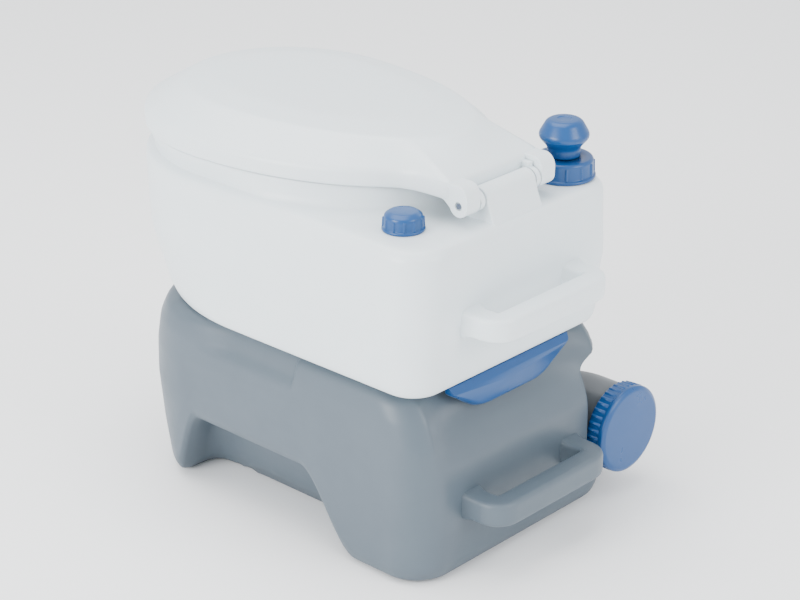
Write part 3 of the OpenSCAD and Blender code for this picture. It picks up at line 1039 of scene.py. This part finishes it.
@dataclass
class Seat:
    """The seat ring's smooth top, over the CAD seat, whose arms to the hinge stay visible."""

    low: float = 386.8
    height: float = 12.0

    def build(self) -> None:
        """Carry a rounded section round two eggs, and dress the ring as the seat's top."""
        a = np.linspace(0, 2 * np.pi, 320, endpoint=False)
        c = (0.0, -100.0)
        outer = reach(egg(139, -110, 153, 219), c, a)
        inner = reach(egg(101, -92, 117, 125), c, a)
        turn = np.linspace(0, 2 * np.pi, 40, endpoint=False)
        across = np.sign(np.cos(turn)) * np.abs(np.cos(turn)) ** 0.6
        lift = np.sign(np.sin(turn)) * np.abs(np.sin(turn)) ** 0.75
        mid, half = (outer + inner) / 2, (outer - inner) / 2
        grid = np.stack([ring(mid + half * u, c, a, self.low + self.height / 2 * (1 + v))
                         for u, v in zip(across, lift)])
        ring_piece = shell("seat_ring", grid, wrap=True)
        dress(ring_piece, Look.WHITE, "flush_unit")


# ---------------------------------------------------------------------------------- studio


@dataclass
class Studio:
    """Pale floor, soft light and the camera."""

    azimuth: float = 42.70
    elevation: float = 24.0
    place: tuple = (1639.1, 1555.0, 1214.6)
    lens_mm: float = 105.03

    def camera(self) -> None:
        """Look from the rear right, a little down, through a long lens."""
        data = bpy.data.cameras.new("camera")
        data.sensor_width = 36.0
        data.lens = self.lens_mm
        data.clip_end = 50.0
        made = bpy.data.objects.new("camera", data)
        bpy.context.scene.collection.objects.link(made)
        t, e = math.radians(self.azimuth), math.radians(self.elevation)
        back = Vector((math.cos(t) * math.cos(e), math.sin(t) * math.cos(e), math.sin(e)))
        made.location = Vector(self.place) * MM
        made.rotation_euler = (-back).to_track_quat("-Z", "Y").to_euler()
        bpy.context.scene.camera = made

    def floor(self) -> None:
        """A wide pale floor with a faint mottle."""
        mesh = bpy.data.meshes.new("studio_floor")
        half = 12.0  # metres
        corners = [(-half, -half, 0), (half, -half, 0), (half, half, 0), (-half, half, 0)]
        mesh.from_pydata(corners, [], [(0, 1, 2, 3)])
        made = bpy.data.objects.new("studio_floor", mesh)
        bpy.context.scene.collection.objects.link(made)
        paint = Plastic("pale_studio_floor", "#FFFFFF", "#FDFDFD", 0.7).material()
        mesh.materials.append(paint)

    def light(self, name: str, place: tuple, size: float, power: float) -> None:
        """One square soft box that looks at the object's middle."""
        data = bpy.data.lights.new(name, "AREA")
        data.size = size
        data.energy = power
        made = bpy.data.objects.new(name, data)
        bpy.context.scene.collection.objects.link(made)
        made.location = place
        made.rotation_euler = (Vector((0, 0, 0.2)) - Vector(place)).to_track_quat("-Z", "Y").to_euler()

    def build(self) -> None:
        """Set up the world, the lamps, the floor and the camera."""
        world = bpy.data.worlds.new("studio_world")
        world.use_nodes = True
        sky = world.node_tree.nodes["Background"]
        sky.inputs["Color"].default_value = linear("#F6F9FC")
        sky.inputs["Strength"].default_value = 1.6
        bpy.context.scene.world = world
        self.light("key_from_above", place=(0.2, -0.5, 2.6), size=2.2, power=60.0)
        self.light("fill_right", place=(2.6, -0.3, 1.2), size=1.3, power=75.0)
        self.light("fill_rear", place=(-0.4, 2.6, 1.5), size=1.3, power=38.0)
        self.floor()
        self.camera()


def dress_cad_nodes() -> None:
    """Give every CAD node that still shows the finish of its material slot."""
    slots = {s["node"]: s["material_slot"] for s in frame["record"]["subparts"]}
    for name, slot in slots.items():
        node = bpy.data.objects.get(name)
        if node is None or node.hide_render:
            continue
        finish = FINISHES[Look(slot)].material()
        if node.material_slots:
            for place in node.material_slots:
                place.material = finish
        else:
            node.data.materials.append(finish)


def main() -> None:
    """Build the toilet from its sub-assemblies and set the scene."""
    logging.basicConfig(level=logging.INFO)
    for part in (WasteTank(), Paddle(), Spout(), FlushTank(), Lid(), Seat(), Caps()):
        LOG.info("building %s", type(part).__name__)
        part.build()
    dress_cad_nodes()
    Studio().build()


if __name__ == "__main__":
    main()
